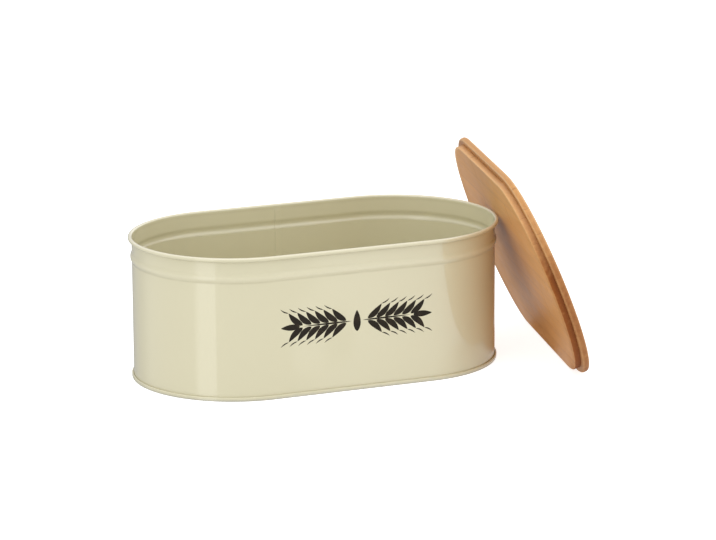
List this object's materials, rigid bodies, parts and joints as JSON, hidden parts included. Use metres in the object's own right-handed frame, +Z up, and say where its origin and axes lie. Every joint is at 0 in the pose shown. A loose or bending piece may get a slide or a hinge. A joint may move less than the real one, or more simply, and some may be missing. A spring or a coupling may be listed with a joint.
{
  "type": "bread box",
  "caption": "Oval open-topped bread tin of painted sheet steel with a rolled rim, and a bamboo lid taken off and leaning on its end.",
  "frame": {"origin": "middle of the tin's foot, on the surface that the tin stands on", "axes": "+X along the tin towards the end that the lid leans on, +Y towards the tin's back, +Z up"},
  "size_m": [0.4112, 0.3313, 0.1776],
  "materials": {
    "cream_paint": "glossy cream paint on sheet steel",
    "cream_paint_base": "glossy cream paint on sheet steel",
    "bamboo": "oiled laminated bamboo, upper board",
    "bamboo_plug": "oiled laminated bamboo, lower board"
  },
  "bodies": {
    "tin": {"tin_wall": "cream_paint", "tin_base": "cream_paint_base"},
    "lid": {"lid_top_strip_1": "bamboo", "lid_top_strip_2": "bamboo", "lid_top_strip_3": "bamboo", "lid_top_strip_4": "bamboo", "lid_top_strip_5": "bamboo", "lid_top_strip_6": "bamboo", "lid_top_strip_7": "bamboo", "lid_top_strip_8": "bamboo", "lid_top_strip_9": "bamboo", "lid_top_strip_10": "bamboo", "lid_plug_strip_1": "bamboo_plug", "lid_plug_strip_2": "bamboo_plug", "lid_plug_strip_3": "bamboo_plug", "lid_plug_strip_4": "bamboo_plug", "lid_plug_strip_5": "bamboo_plug", "lid_plug_strip_6": "bamboo_plug", "lid_plug_strip_7": "bamboo_plug", "lid_plug_strip_8": "bamboo_plug", "lid_plug_strip_9": "bamboo_plug"}
  },
  "joints": [
    {"name": "lid_lift", "type": "slide", "parent": "tin", "child": "lid", "axis": [0, 0, 1], "range_m": [0, 0.15]}
  ]
}
